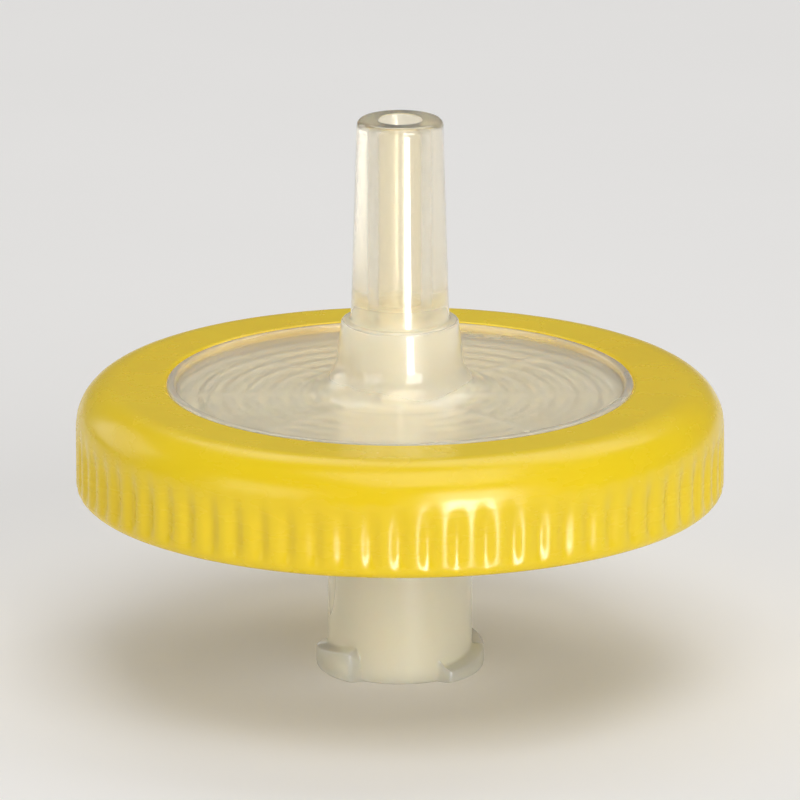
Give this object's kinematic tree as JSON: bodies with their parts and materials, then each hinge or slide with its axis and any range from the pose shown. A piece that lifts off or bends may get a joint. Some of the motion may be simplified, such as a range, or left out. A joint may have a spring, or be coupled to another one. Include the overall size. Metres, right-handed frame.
{
  "type": "syringe filter",
  "caption": "Disc syringe filter with a Luer-lock inlet, a Luer slip outlet, a clamped white membrane between translucent housings, and a ribbed yellow overmoulded ring.",
  "frame": {"origin": "centre of the flat end of the inlet port, on which the filter stands", "axes": "+Z is the direction of flow, from the inlet port to the outlet tip; the two Luer-lock lugs lie along X"},
  "size_m": [0.03, 0.03, 0.0262],
  "materials": {
    "inlet_housing": "natural translucent polypropylene, lightly frosted",
    "membrane": "matt white porous polymer",
    "outlet_housing": "natural translucent polypropylene, frosted boss and polished tip",
    "overmould_ring": "opaque glossy yellow polypropylene"
  },
  "bodies": {
    "root": {"inlet_housing": "inlet_housing", "membrane": "membrane", "outlet_housing": "outlet_housing", "overmould_ring": "overmould_ring"}
  },
  "joints": []
}
